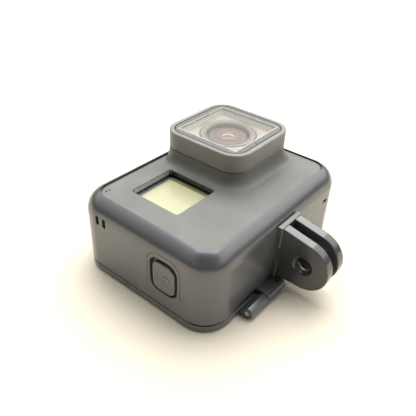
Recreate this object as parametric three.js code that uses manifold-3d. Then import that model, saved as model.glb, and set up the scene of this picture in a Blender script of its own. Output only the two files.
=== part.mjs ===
// Action camera held in its mounting frame, lying on its back with the lens pointing up.
// Millimetres. +Z is the lens axis, +Y the shutter side, -Y the underside with the mount fingers.
// The origin is at the middle of the footprint, on the plane that the rear bezel rests on.

import * as THREE from 'three';
import { mergeVertices } from 'three/addons/utils/BufferGeometryUtils.js';
import Module from 'manifold-3d';

const wasm = await Module();
wasm.setup();

// ---- Driving dimensions -------------------------------------------------------------------

// Clearance between pieces that are cut to fit each other.
const gap = 0.3;

// Camera body, without the lens block. Back and front are heights above the resting plane.
const body = { width: 62.3, height: 44.9, corner: 6.5, back: 1.6, front: 24.5, edge: 2.4, wall: 1.5 };
const bodyRight = body.width / 2;
const bodyTop = body.height / 2;
const splitHeight = 7;
const plateUnder = body.front - body.wall;

// Mounting frame: outer size, front lip and the plane where its rear bezel parts from it.
const frame = { width: 66.7, height: 50.3, corner: 8.5, edge: 4, crest: 25, parting: 2.5 };
const frameRight = frame.width / 2;
const frameTop = frame.height / 2;
const lip = { width: 58.6, height: 42.5, corner: 4.5 };
const bezel = { thickness: 2.4, width: 56, height: 38.6, corner: 3, edge: 0.7 };

// Touch display on the back.
const touch = { width: 48.6, height: 33.4, corner: 1.4 };

// Lens block: a square tower with a twist-off cover ring.
const lens = { x: 12.75, y: 6.2, side: 29.5, corner: 6.3, seam: 28.9, top: 34.6, bore: 9.7, barrel: 9 };
const lensFlare = { left: 3.4, right: 0.9, bottom: 3.4, top: 0.05 };
const cover = { border: 1.5, chamfer: 0.8, inside: 22.6, ledge: 33 };
const lensFace = {
  barrelTop: 31.3, ringTop: 32.8, mask: 32.1, maskThickness: 0.6, maskHole: 9.3, element: 29, radius: 6.7,
};

// Status display window in the front plate.
const status = { x: -13.75, y: 4.95, width: 16.2, height: 17.6, corner: 0.8 };

// Rear hinge of the frame and its knuckles.
const hinge = { y: -27.6, z: 2, radius: 1.9, pin: 0.7, run: 0.08 };
const bezelKnuckle = [-19.9, -12.2];
const shellKnuckle = [-11.9, -3.2];

// Latch lever on the shutter side of the bezel.
const latch = {
  from: -23.6, to: -7.6, y: 26.3, z: 1.5, reach: 11.2, thickness: 1.8, pin: 0.5, lug: 2.2, ear: 4.8,
};

// Mount fingers.
const finger = { x: 0.4, gap: 3.1, thickness: 3, y: -33.9, z: 12.1, radius: 7.7, hole: 2.55, rise: 0.19 };
const plinth = { depth: 1.5, top: 21.6, bottom: 4.2, topHalf: 5, bottomHalf: 6, scoop: 8 };

// Press pads: islands in openings of the frame walls, each kept in by a flange in a stepped pocket.
const pad = { z: 12.7, height: 9.4, corner: 2.2, flange: 0.45, step: 0.65, travelRoom: 0.45 };
const padHole = { z: 13.1, height: 11.2, side: 0.85, corner: 3, ledge: 0.5 };
const modePad = { centre: -9.3, width: 7.9 };
const shutterPad = { centre: -13, width: 11 };
const modeButton = { width: 7, height: 5.6 };
const shutterButton = { width: 9, height: 6.4 };
const buttonDepth = 1.4;

// Side door over the sockets, and the opening in the frame wall beside it.
const door = { y: 1.8, width: 20.2, height: 10.4, z: 14, thickness: 1.4, barrel: 0.9, pin: 0.4 };
const doorWindow = { from: -10, to: 13.4, bottom: 7.6, top: 20.4 };

// Battery and its compartment.
const battery = { left: -26.4, right: 2.3, front: 18.7, back: -19.5, bottom: 8.7, top: 17.6 };
const bayWall = 0.8;
const batteryDoor = { x: -10.7, width: 27.4, height: 10.8, z: 13.5, thickness: 1.3 };

// Boards, chassis and screws.
const board = { left: 3.7, right: 28.6, half: 18.6, bottom: 8.2, thickness: 1 };
const chassis = { bottom: 19.5, thickness: 1.1, width: 57.6, height: 40.4, corner: 4.5 };
const screw = { head: 1.4, headHeight: 0.8, shank: 0.55, length: 3.1, boss: 1.9, pilot: 0.75 };
const screwSpots = [[-26.4, -17.4], [26.4, -17.4], [26.4, 17.6], [-16, 18.2]];

// Facets on a full circle, for large and for small round shapes, and steps in a rounded edge.
const roundFacets = 40;
const smallFacets = 20;
const cornerFacets = 7;
const edgeSteps = 4;

// ---- Materials ----------------------------------------------------------------------------

function material(color, roughness, metalness = 0) {
  return new THREE.MeshStandardMaterial({ color, roughness, metalness });
}

const looks = {
  frame: material(0x3b3836, 0.5),
  fingers: material(0x1d1b1a, 0.3),
  softTouch: material(0x55514d, 0.8),
  lensBlock: material(0x35312e, 0.55),
  darkPlastic: material(0x1b1a1a, 0.5),
  glass: material(0xa9a89c, 0.05),
  display: material(0xdcdaa8, 0.3),
  steel: material(0x9a9490, 0.3, 1),
  aluminium: material(0xb4b6b8, 0.4, 1),
  rubber: material(0x18181a, 0.85),
  circuit: material(0x1f5a3a, 0.5),
  cell: material(0x2a2d33, 0.45),
  chip: material(0x202024, 0.35),
};

// ---- Shapes and solids --------------------------------------------------------------------

// A closed solid from a three.js geometry, for joining and cutting.
function solid(geometry) {
  const bare = geometry.index ? geometry.clone() : geometry;
  bare.deleteAttribute('normal');
  bare.deleteAttribute('uv');
  const merged = mergeVertices(bare, 1e-5);
  return new wasm.Manifold(new wasm.Mesh({
    numProp: 3,
    vertProperties: new Float32Array(merged.attributes.position.array),
    triVerts: new Uint32Array(merged.index.array),
  }));
}

function geometryOf(manifold) {
  const mesh = manifold.getMesh();
  const geometry = new THREE.BufferGeometry();
  geometry.setAttribute('position', new THREE.BufferAttribute(mesh.vertProperties, 3));
  geometry.setIndex(new THREE.BufferAttribute(mesh.triVerts, 1));
  geometry.computeVertexNormals();
  return geometry;
}

function block(x, y, z) {
  const geometry = new THREE.BoxGeometry(x[1] - x[0], y[1] - y[0], z[1] - z[0]);
  geometry.translate((x[0] + x[1]) / 2, (y[0] + y[1]) / 2, (z[0] + z[1]) / 2);
  return solid(geometry);
}

// A round bar along one axis between two stations, centred on a point of the other two axes.
function rod(axis, radius, from, to, centre, facets = smallFacets) {
  const geometry = new THREE.CylinderGeometry(radius, radius, to - from, facets);
  const middle = (from + to) / 2;
  if (axis === 'x') {
    geometry.rotateZ(-Math.PI / 2);
    geometry.translate(middle, centre[0], centre[1]);
  } else if (axis === 'y') {
    geometry.translate(centre[0], middle, centre[1]);
  } else {
    geometry.rotateX(Math.PI / 2);
    geometry.translate(centre[0], centre[1], middle);
  }
  return solid(geometry);
}

// Outline of a rectangle with round corners, as points counted anticlockwise.
function roundedOutline(width, height, corner, x = 0, y = 0, facets = cornerFacets) {
  const points = [];
  for (let quarter = 0; quarter < 4; quarter += 1) {
    const sideX = quarter === 0 || quarter === 3 ? 1 : -1;
    const sideY = quarter < 2 ? 1 : -1;
    for (let step = 0; step <= facets; step += 1) {
      const angle = (quarter + step / facets) * Math.PI / 2;
      points.push(new THREE.Vector2(
        x + sideX * (width / 2 - corner) + corner * Math.cos(angle),
        y + sideY * (height / 2 - corner) + corner * Math.sin(angle),
      ));
    }
  }
  return points;
}

// A prism on an outline in the XY plane between two heights.
function prism(points, from, to) {
  const settings = { depth: to - from, bevelEnabled: false };
  const geometry = new THREE.ExtrudeGeometry(new THREE.Shape(points), settings);
  geometry.translate(0, 0, from);
  return solid(geometry);
}

// The same prism laid into a wall: its outline is in the YZ plane (axis x) or the XZ plane (axis y).
function sidePrism(axis, points, from, to) {
  const settings = { depth: to - from, bevelEnabled: false };
  const geometry = new THREE.ExtrudeGeometry(new THREE.Shape(points), settings);
  geometry.translate(0, 0, from);
  if (axis === 'x') {
    geometry.rotateY(Math.PI / 2);
    geometry.rotateX(Math.PI / 2);
  } else {
    geometry.rotateX(Math.PI / 2);
    geometry.scale(1, -1, 1);
    const index = [...Array(geometry.attributes.position.count).keys()];
    for (let corner = 0; corner < index.length; corner += 3) {
      [index[corner + 1], index[corner + 2]] = [index[corner + 2], index[corner + 1]];
    }
    geometry.setIndex(index);
  }
  return solid(geometry);
}

// A skin over a stack of outlines that all have the same number of points. Each level is
// { z, points }, from the lowest to the highest.
function loft(levels) {
  const count = levels[0].points.length;
  const positions = [];
  const index = [];
  for (const level of levels) {
    for (const point of level.points) {
      positions.push(point.x, point.y, level.z);
    }
  }
  for (let row = 0; row + 1 < levels.length; row += 1) {
    for (let step = 0; step < count; step += 1) {
      const next = (step + 1) % count;
      const low = row * count;
      const high = low + count;
      index.push(low + step, low + next, high + next);
      index.push(low + step, high + next, high + step);
    }
  }
  const last = (levels.length - 1) * count;
  for (const [a, b, c] of THREE.ShapeUtils.triangulateShape(levels[0].points, [])) {
    index.push(a, c, b);
  }
  for (const [a, b, c] of THREE.ShapeUtils.triangulateShape(levels[levels.length - 1].points, [])) {
    index.push(last + a, last + b, last + c);
  }
  const geometry = new THREE.BufferGeometry();
  geometry.setAttribute('position', new THREE.Float32BufferAttribute(positions, 3));
  geometry.setIndex(index);
  return solid(geometry);
}

// A rounded block whose lower and upper rims are rounded over by the given radii.
function softBlock(size, from, to, lowerEdge, upperEdge, grow = 0) {
  const levels = [];
  const level = (z, inset) => levels.push({
    z,
    points: roundedOutline(
      size.width + 2 * (grow - inset),
      size.height + 2 * (grow - inset),
      size.corner + grow - inset,
    ),
  });
  for (let step = 0; step < edgeSteps; step += 1) {
    const angle = step / edgeSteps * Math.PI / 2;
    const radius = lowerEdge + grow;
    if (lowerEdge > 0) {
      level(from + lowerEdge - radius * Math.cos(angle), radius * (1 - Math.sin(angle)));
    }
  }
  level(lowerEdge > 0 ? from + lowerEdge : from, 0);
  level(upperEdge > 0 ? to - upperEdge : to, 0);
  for (let step = 1; step <= edgeSteps && upperEdge > 0; step += 1) {
    const angle = step / edgeSteps * Math.PI / 2;
    const radius = upperEdge + grow;
    level(to - upperEdge + radius * Math.sin(angle), radius * (1 - Math.cos(angle)));
  }
  return loft(levels);
}

// A turned piece: profile points are radius and height, closed on themselves, round the lens axis.
function turned(profile, facets = roundFacets) {
  const points = profile.map(([radius, height]) => new THREE.Vector2(radius, height));
  if (profile[0][0] > 0) {
    points.push(points[0].clone());
  }
  const geometry = new THREE.LatheGeometry(points, facets);
  geometry.rotateX(Math.PI / 2);
  geometry.translate(lens.x, lens.y, 0);
  return solid(geometry);
}

function ring(outer, inner, from, to) {
  return turned([[inner, from], [outer, from], [outer, to], [inner, to]]);
}

const assembly = new THREE.Group();

function addPiece(name, shape, look) {
  const mesh = new THREE.Mesh(geometryOf(shape), look);
  mesh.name = name;
  assembly.add(mesh);
}

// ---- Mounting frame -----------------------------------------------------------------------

// The camera body swollen by the clearance: what the frame and the bezel are hollowed with.
function bodyRoom() {
  return softBlock(body, body.back, body.front, body.edge, body.edge, gap);
}

// The opening round a press pad, grown by a margin for its flange or for the flange's pocket.
function padOpening(spot, margin) {
  const grow = 2 * margin;
  const width = spot.width + 2 * padHole.side + grow;
  return roundedOutline(width, padHole.height + grow, padHole.corner + margin, spot.centre, padHole.z, 5);
}

// A span along a wall's normal, whichever way the wall faces.
function span(a, b) {
  return [Math.min(a, b), Math.max(a, b)];
}

function padRoom(axis, direction, innerFace, outerFace, spot) {
  const throughSpan = span(innerFace - direction, outerFace + direction);
  const through = sidePrism(axis, padOpening(spot, 0), ...throughSpan);
  const pocketDepth = innerFace + direction * pad.step;
  const pocketSpan = span(innerFace - direction, pocketDepth);
  const pocket = sidePrism(axis, padOpening(spot, padHole.ledge + gap), ...pocketSpan);
  return through.add(pocket);
}

function slot(axis, centreA, centreB, lengthA, lengthB, from, to) {
  const corner = Math.min(lengthA, lengthB) / 2 - 0.01;
  return sidePrism(axis, roundedOutline(lengthA, lengthB, corner, centreA, centreB, 4), from, to);
}

function knuckle(span, armTop, armBottom) {
  const arm = block(span, [hinge.y, -frameTop + 1.2], [armBottom, armTop]);
  return rod('x', hinge.radius, span[0], span[1], [hinge.y, hinge.z]).add(arm);
}

function pinHole() {
  return rod('x', hinge.pin + hinge.run, bezelKnuckle[0] - 1, shellKnuckle[1] - 1.2, [hinge.y, hinge.z]);
}

function frameShell() {
  const outerWall = softBlock(frame, frame.parting, frame.crest, 0, frame.edge);
  let shell = outerWall
    .subtract(bodyRoom())
    .subtract(prism(roundedOutline(lip.width, lip.height, lip.corner), body.front - 1, frame.crest + 1));
  shell = shell
    .subtract(padRoom('x', -1, -bodyRight - gap, -frameRight, modePad))
    .subtract(padRoom('y', 1, bodyTop + gap, frameTop, shutterPad));
  const windowHeight = doorWindow.top - doorWindow.bottom;
  const windowWidth = doorWindow.to - doorWindow.from;
  const windowY = (doorWindow.to + doorWindow.from) / 2;
  const windowZ = (doorWindow.top + doorWindow.bottom) / 2;
  const windowHole = roundedOutline(windowWidth, windowHeight, 2.5, windowY, windowZ);
  shell = shell.subtract(sidePrism('x', windowHole, bodyRight, frameRight + 1));
  for (const soundSlot of [13.1, 15.8]) {
    shell = shell.subtract(slot('x', soundSlot, 19.2, 1.2, 2.8, -frameRight - 1, -bodyRight));
  }
  shell = shell.subtract(slot('y', 23.6, 16, 2.6, 1, -frameTop - 1, -bodyTop));
  const ear = knuckle(shellKnuckle, plinth.bottom - gap, frame.parting)
    .subtract(block([-20, 0], [-frameTop, 0], [0, frame.parting]))
    .subtract(pinHole());
  return shell.add(ear.subtract(bodyRoom()));
}

function rearBezel() {
  const plate = softBlock(frame, 0, bezel.thickness, bezel.edge, 0);
  const view = prism(roundedOutline(bezel.width, bezel.height, bezel.corner), -1, bezel.thickness + 1);
  const swing = block(
    [shellKnuckle[0] - gap, shellKnuckle[1] + gap],
    [hinge.y - 3, -frameTop + 0.9],
    [-1, frame.parting + 1],
  );
  let shape = plate
    .subtract(bodyRoom())
    .subtract(view)
    .subtract(swing)
    .add(knuckle(bezelKnuckle, bezel.thickness, 0.15))
    .subtract(pinHole());
  const lowEar = [latch.from - gap - latch.lug, latch.from - gap];
  const highEar = [latch.to + gap, latch.to + gap + latch.lug];
  for (const side of [lowEar, highEar]) {
    const half = latch.thickness / 2;
    const lug = block(side, [frameTop - 1.5, latch.y], [0.1, bezel.thickness])
      .add(rod('x', half, side[0], side[1], [latch.y, latch.z]))
      .add(block(side, [latch.y - half, latch.y + half], [latch.z, latch.ear - half]))
      .add(rod('x', half, side[0], side[1], [latch.y, latch.ear - half]))
      .subtract(bodyRoom());
    shape = shape.add(lug);
  }
  return shape.subtract(rod('x', latch.pin + hinge.run, latch.from - 5, latch.to + 5, [latch.y, latch.z]));
}

function latchLever() {
  const half = latch.thickness / 2;
  const leverOutline = roundedOutline(
    latch.to - latch.from,
    latch.reach - latch.z,
    1.4,
    (latch.to + latch.from) / 2,
    (latch.reach + latch.z) / 2,
  );
  const plate = sidePrism('y', leverOutline, latch.y - half, latch.y + half);
  const root = rod('x', half, latch.from, latch.to, [latch.y, latch.z]);
  const web = block([latch.from, latch.to], [latch.y - half, latch.y + half], [latch.z, latch.z + 2]);
  const grip = rod('x', 0.8, latch.from + 3, latch.to - 3, [latch.y + half, latch.reach - 1.6]);
  return plate.add(root).add(web).add(grip)
    .subtract(rod('x', latch.pin + hinge.run, latch.from - 1, latch.to + 1, [latch.y, latch.z]));
}

// One finger outline in the YZ plane: a disc at the free end, widening towards the frame.
function fingerOutline() {
  const root = -frameTop - plinth.depth / 2;
  const tangent = finger.rise + Math.PI / 2;
  const points = [];
  for (let step = 0; step <= 26; step += 1) {
    const angle = tangent + step / 26 * (1.5 * Math.PI - tangent);
    points.push(new THREE.Vector2(
      finger.y + finger.radius * Math.cos(angle),
      finger.z + finger.radius * Math.sin(angle),
    ));
  }
  const top = points[0];
  points.push(new THREE.Vector2(root, finger.z - finger.radius));
  points.push(new THREE.Vector2(root, top.y + (root - top.x) * Math.tan(finger.rise)));
  return points;
}

function mountFingers() {
  const pitch = finger.gap + finger.thickness;
  const halfSpan = (pitch + finger.thickness) / 2;
  const corners = [
    [finger.x - plinth.bottomHalf, plinth.bottom],
    [finger.x + plinth.bottomHalf, plinth.bottom],
    [finger.x + plinth.topHalf, plinth.top],
    [finger.x - plinth.topHalf, plinth.top],
  ];
  const outline = corners.map(([x, z]) => new THREE.Vector2(x, z));
  let shape = sidePrism('y', outline, -frameTop - plinth.depth, -frameTop);
  const clearance = rod('x', plinth.scoop, finger.x - 12, finger.x + 12, [finger.y, finger.z], roundFacets);
  shape = shape.subtract(clearance);
  for (const side of [-1, 1]) {
    const middle = finger.x + side * pitch / 2;
    const half = finger.thickness / 2;
    shape = shape.add(sidePrism('x', fingerOutline(), middle - half, middle + half));
  }
  const boltEnd = halfSpan + 1;
  const bolt = rod('x', finger.hole, finger.x - boltEnd, finger.x + boltEnd, [finger.y, finger.z]);
  return shape.subtract(bolt);
}

// A press pad: its island, flush with the wall, on the flange that keeps it in.
function pressPad(axis, direction, bodyFace, outerFace, spot) {
  const inner = bodyFace + direction * pad.travelRoom;
  const island = roundedOutline(spot.width, pad.height, pad.corner, spot.centre, pad.z, 5);
  const flange = padOpening(spot, padHole.ledge);
  return sidePrism(axis, island, ...span(inner, outerFace))
    .add(sidePrism(axis, flange, ...span(inner, inner + direction * pad.flange)));
}

addPiece('frame_shell', frameShell(), looks.frame);
addPiece('rear_bezel', rearBezel(), looks.frame);
const hingePin = rod('x', hinge.pin, bezelKnuckle[0] - 0.1, shellKnuckle[1] - 1.5, [hinge.y, hinge.z]);
addPiece('hinge_pin', hingePin, looks.steel);
addPiece('mount_fingers', mountFingers(), looks.fingers);
addPiece('latch_lever', latchLever(), looks.frame);
addPiece(
  'latch_pin',
  rod('x', latch.pin, latch.from - gap - latch.lug, latch.to + gap + latch.lug, [latch.y, latch.z]),
  looks.steel,
);
const modeFace = -bodyRight - 0.15;
const shutterFace = bodyTop + 0.15;
addPiece('mode_pad', pressPad('x', -1, -bodyRight, -frameRight, modePad), looks.frame);
addPiece('shutter_pad', pressPad('y', 1, bodyTop, frameTop, shutterPad), looks.frame);

// ---- Camera housing -----------------------------------------------------------------------

// The lens tower with its concave foot, which spreads to the left and downwards.
function lensTower(from, to) {
  const levels = [];
  const steps = 6;
  for (let step = 0; step <= steps; step += 1) {
    const z = step === 0 ? from : body.front + (to - body.front) * step / steps;
    const rise = Math.max(0, (z - body.front) / (to - body.front));
    const spread = 1 - Math.sqrt(1 - (1 - rise) ** 2);
    const left = lensFlare.left * spread;
    const right = lensFlare.right * spread;
    const top = lensFlare.top * spread;
    const bottom = lensFlare.bottom * spread;
    levels.push({
      z,
      points: roundedOutline(
        lens.side + left + right,
        lens.side + top + bottom,
        lens.corner + 0.4 * left,
        lens.x + (right - left) / 2,
        lens.y + (top - bottom) / 2,
      ),
    });
  }
  return loft(levels);
}

function buttonHole(axis, button, centre, from, to) {
  const width = button.width + 2 * gap;
  const outline = roundedOutline(width, button.height + 2 * gap, 1.5 + gap, centre, pad.z, 4);
  return sidePrism(axis, outline, from, to);
}

function doorOpening(margin) {
  return roundedOutline(door.width + 2 * margin, door.height + 2 * margin, 0.6 + margin, door.y, door.z, 3);
}

function doorPinAt() {
  return [bodyRight - door.barrel - 0.05, door.y - door.width / 2 + door.barrel];
}

function frontHousing() {
  const bottom = splitHeight + 0.4;
  const cavity = {
    width: body.width - 2 * body.wall,
    height: body.height - 2 * body.wall,
    corner: body.corner - body.wall,
  };
  let shape = softBlock(body, bottom, body.front, 0, body.edge).add(lensTower(plateUnder, lens.seam));
  const hollow = prism(roundedOutline(cavity.width, cavity.height, cavity.corner), bottom - 1, plateUnder);
  shape = shape.subtract(hollow);
  for (const [x, y] of screwSpots) {
    const post = rod('z', screw.boss, chassis.bottom + chassis.thickness + 0.2, plateUnder + 0.5, [x, y]);
    const pilot = rod('z', screw.pilot, chassis.bottom, plateUnder - 0.2, [x, y]);
    shape = shape.add(post).subtract(pilot);
  }
  shape = shape.subtract(rod('z', lens.bore, plateUnder - 1, lens.seam + 1, [lens.x, lens.y], roundFacets));
  const glassHole = roundedOutline(status.width, status.height, status.corner, status.x, status.y, 3);
  shape = shape.subtract(prism(glassHole, plateUnder - 1, body.front + 1));
  for (const offset of [-0.55, 0.55]) {
    shape = shape.subtract(rod('z', 0.32, plateUnder - 1, body.front + 1, [-26.4 + offset, 18.6], 8));
  }
  shape = shape
    .subtract(buttonHole('x', modeButton, modePad.centre, -bodyRight - 1, -bodyRight + 2))
    .subtract(buttonHole('y', shutterButton, shutterPad.centre, bodyTop - 2, bodyTop + 1))
    .subtract(sidePrism('x', doorOpening(gap), bodyRight - 2, bodyRight + 1));
  const doorPin = doorPinAt();
  const pinReach = door.height / 2 + 1.3;
  shape = shape.subtract(rod('z', door.pin + 0.1, door.z - pinReach, door.z + pinReach, doorPin));
  const hatchWidth = batteryDoor.width + 2 * gap;
  const hatchHeight = batteryDoor.height + 2 * gap;
  const hatch = roundedOutline(hatchWidth, hatchHeight, 1.5, batteryDoor.x, batteryDoor.z, 3);
  return shape.subtract(sidePrism('y', hatch, -bodyTop - 1, -bodyTop + 2));
}

function rearHousing() {
  const top = splitHeight - 0.3;
  const floor = body.back + body.wall;
  const width = body.width - 2 * body.wall;
  const hollow = roundedOutline(width, body.height - 2 * body.wall, body.corner - body.wall);
  const view = roundedOutline(touch.width + 2 * gap, touch.height + 2 * gap, touch.corner + gap);
  return softBlock(body, body.back, top, body.edge, 0)
    .subtract(prism(hollow, floor, top + 1))
    .subtract(prism(view, body.back - 1, floor + 1));
}

function housingSeal() {
  const outer = roundedOutline(body.width - 0.8, body.height - 0.8, body.corner - 0.4);
  const inner = roundedOutline(body.width - 2.4, body.height - 2.4, body.corner - 1.2);
  const from = splitHeight - 0.25;
  const to = splitHeight + 0.35;
  return prism(outer, from, to).subtract(prism(inner, from - 1, to + 1));
}

addPiece('front_housing', frontHousing(), looks.softTouch);
addPiece('rear_housing', rearHousing(), looks.darkPlastic);
addPiece('housing_seal', housingSeal(), looks.rubber);
const touchOutline = roundedOutline(touch.width, touch.height, touch.corner);
addPiece('touch_glass', prism(touchOutline, body.back + 0.15, body.back + 1), looks.glass);
addPiece('display_panel', block([-24, 24], [-16.4, 16.4], [3.3, 4.8]), looks.darkPlastic);

// ---- Lens block ---------------------------------------------------------------------------

function coverRing() {
  const bottom = lens.seam + 0.15;
  const slope = (inset) => roundedOutline(
    lens.side - 2 * inset,
    lens.side - 2 * inset,
    lens.corner - inset,
    lens.x,
    lens.y,
  );
  const outside = loft([
    { z: bottom, points: slope(0) },
    { z: lens.top - cover.chamfer, points: slope(0) },
    { z: lens.top - cover.chamfer * 0.35, points: slope(cover.chamfer * 0.3) },
    { z: lens.top, points: slope(cover.chamfer) },
  ]);
  const inside = roundedOutline(cover.inside, cover.inside, 1.3, lens.x, lens.y, 3);
  const seat = slope(cover.border);
  return outside
    .subtract(prism(inside, bottom - 1, lens.top + 1))
    .subtract(prism(seat, cover.ledge, lens.top + 1));
}

function coverGlass() {
  const side = lens.side - 2 * (cover.border + 0.12);
  return prism(
    roundedOutline(side, side, lens.corner - cover.border - 0.12, lens.x, lens.y),
    cover.ledge + 0.1,
    lens.top - 0.1,
  );
}

function lensMask() {
  const side = cover.inside - 2 * gap;
  const top = lensFace.mask + lensFace.maskThickness;
  const plate = prism(roundedOutline(side, side, 1, lens.x, lens.y, 2), lensFace.mask, top);
  const opening = rod('z', lensFace.maskHole, lensFace.mask - 1, top + 1, [lens.x, lens.y], roundFacets);
  return plate.subtract(opening);
}

function frontElement() {
  const { element, radius } = lensFace;
  const shoulder = element + 2;
  const profile = [[0, element], [radius, element], [radius, shoulder]];
  for (let step = 1; step <= 5; step += 1) {
    const angle = step / 5 * Math.PI / 2;
    profile.push([step === 5 ? 0 : radius * Math.cos(angle), shoulder + 1.6 * Math.sin(angle)]);
  }
  return turned(profile);
}

function lensHolder() {
  const half = 9;
  const base = block([lens.x - half, lens.x + half], [lens.y - half, lens.y + half], [12, 13.6]);
  return base.subtract(rod('z', 6.4, 11, 15, [lens.x, lens.y], roundFacets));
}

function squareAtLens(half, from, to) {
  return block([lens.x - half, lens.x + half], [lens.y - half, lens.y + half], [from, to]);
}

addPiece('lens_cover_ring', coverRing(), looks.lensBlock);
addPiece('lens_cover_glass', coverGlass(), looks.glass);
addPiece('lens_cover_gasket', ring(10.9, 10.05, lens.seam + 0.05, lens.seam + 0.85), looks.rubber);
addPiece('lens_mask', lensMask(), looks.darkPlastic);
const { barrelTop, ringTop } = lensFace;
const barrelProfile = [[7.3, 14], [lens.barrel, 14], [lens.barrel, barrelTop], [7.3, barrelTop]];
addPiece('lens_barrel', turned(barrelProfile), looks.aluminium);
const retainingProfile = [
  [6.9, barrelTop + 0.1],
  [8.7, barrelTop + 0.1],
  [8.7, ringTop - 0.4],
  [7.1, ringTop],
  [6.9, ringTop - 0.3],
];
addPiece('lens_retaining_ring', turned(retainingProfile), looks.chip);
addPiece('lens_front_element', frontElement(), looks.glass);
addPiece('lens_middle_group', ring(7.1, 0.6, 20.5, 26.5), looks.glass);
addPiece('lens_rear_group', turned([[0, 14.6], [6.6, 14.6], [6.6, 19], [0, 19]]), looks.glass);
addPiece('lens_holder', lensHolder(), looks.darkPlastic);
addPiece('infrared_filter', squareAtLens(4.2, 13, 13.4), looks.glass);
addPiece('image_sensor', squareAtLens(3.9, 11.9, 12.7), looks.chip);
addPiece('sensor_board', squareAtLens(9, 11, 11.8), looks.circuit);
addPiece('heat_spreader', squareAtLens(9, 10, 10.8), looks.aluminium);

// ---- Displays, buttons and sound ----------------------------------------------------------

function cameraButton(axis, direction, face, button, centre) {
  const inner = face - direction * (buttonDepth + 0.15);
  const outline = roundedOutline(button.width, button.height, 1.5, centre, pad.z, 4);
  return sidePrism(axis, outline, Math.min(face, inner), Math.max(face, inner));
}

const statusX = [status.x - status.width / 2 - 0.7, status.x + status.width / 2 + 0.7];
const statusY = [status.y - status.height / 2 - 0.7, status.y + status.height / 2 + 0.7];
addPiece('status_window', block(statusX, statusY, [22.2, 22.8]), looks.glass);
addPiece('status_display', block(statusX, statusY, [21, 22]), looks.display);
addPiece('mode_button', cameraButton('x', -1, modeFace, modeButton, modePad.centre), looks.darkPlastic);
const shutterKey = cameraButton('y', 1, shutterFace, shutterButton, shutterPad.centre);
addPiece('shutter_button', shutterKey, looks.darkPlastic);
const modeSwitchX = [-bodyRight + 2, -bodyRight + 2.7];
const switchZ = [pad.z - 1.3, pad.z + 1.3];
const modeSwitchY = [modePad.centre - 1.5, modePad.centre + 1.5];
addPiece('mode_switch', block(modeSwitchX, modeSwitchY, switchZ), looks.steel);
const shutterSwitchY = [bodyTop - 2.6, bodyTop - 1.9];
addPiece(
  'shutter_switch',
  block([shutterPad.centre - 1.5, shutterPad.centre + 1.5], shutterSwitchY, switchZ),
  looks.steel,
);
addPiece('front_microphone', rod('z', 1.4, 21.2, 22.7, [-26.4, 18.2]), looks.aluminium);
addPiece('speaker', block([14, 25], [-19, -12], [10.2, 13.6]), looks.chip);

// ---- Inside -------------------------------------------------------------------------------

function chassisPlate() {
  const top = chassis.bottom + chassis.thickness;
  let shape = prism(roundedOutline(chassis.width, chassis.height, chassis.corner), chassis.bottom, top)
    .subtract(rod('z', lens.barrel + 0.4, chassis.bottom - 1, top + 1, [lens.x, lens.y], roundFacets));
  for (const spot of screwSpots) {
    shape = shape.subtract(rod('z', screw.shank + 0.3, chassis.bottom - 1, top + 1, spot));
  }
  return shape;
}

function batteryBay() {
  const inner = 0.1;
  const reach = bayWall + inner;
  const outside = block(
    [battery.left - reach, battery.right + reach],
    [battery.back - 0.3, battery.front + reach],
    [battery.bottom - reach, battery.top + reach],
  );
  const room = block(
    [battery.left - inner, battery.right + inner],
    [battery.back - 2, battery.front + inner],
    [battery.bottom - inner, battery.top + inner],
  );
  return outside.subtract(room);
}

function batteryCell() {
  const outline = roundedOutline(
    battery.right - battery.left,
    battery.top - battery.bottom,
    1.2,
    (battery.left + battery.right) / 2,
    (battery.top + battery.bottom) / 2,
    3,
  );
  return sidePrism('y', outline, battery.back, battery.front);
}

function hatchOutline(margin, corner) {
  return roundedOutline(
    batteryDoor.width - 2 * margin,
    batteryDoor.height - 2 * margin,
    corner,
    batteryDoor.x,
    batteryDoor.z,
    3,
  );
}

function sideDoor() {
  const inner = bodyRight - door.thickness;
  const panel = sidePrism('x', doorOpening(0), inner, bodyRight);
  const [pinX, pinY] = doorPinAt();
  const barrel = rod('z', door.barrel, door.z - door.height / 2, door.z + door.height / 2, [pinX, pinY]);
  const full = [door.z - door.height, door.z + door.height];
  const corner = block([inner - 1, bodyRight + 1], [pinY - 3, pinY], full);
  return panel.subtract(corner).add(barrel)
    .subtract(rod('z', door.pin + 0.08, door.z - door.height, door.z + door.height, [pinX, pinY]));
}

function sideDoorSeal() {
  const inner = bodyRight - door.thickness;
  const y = door.y + 0.9;
  const outer = roundedOutline(door.width - 4.2, door.height - 2, 1.5, y, door.z, 3);
  const hole = roundedOutline(door.width - 5.8, door.height - 3.6, 0.9, y, door.z, 3);
  return sidePrism('x', outer, inner - 0.6, inner).subtract(sidePrism('x', hole, inner - 1, inner + 1));
}

function socket(y, width, height) {
  const z = door.z - 1.6;
  const outer = roundedOutline(width, height, height * 0.3, y, z, 3);
  const hole = roundedOutline(width - 1, height - 1, height * 0.3 - 0.4, y, z, 3);
  return sidePrism('x', outer, 22.8, 28.8).subtract(sidePrism('x', hole, 23.6, 30));
}

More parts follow.
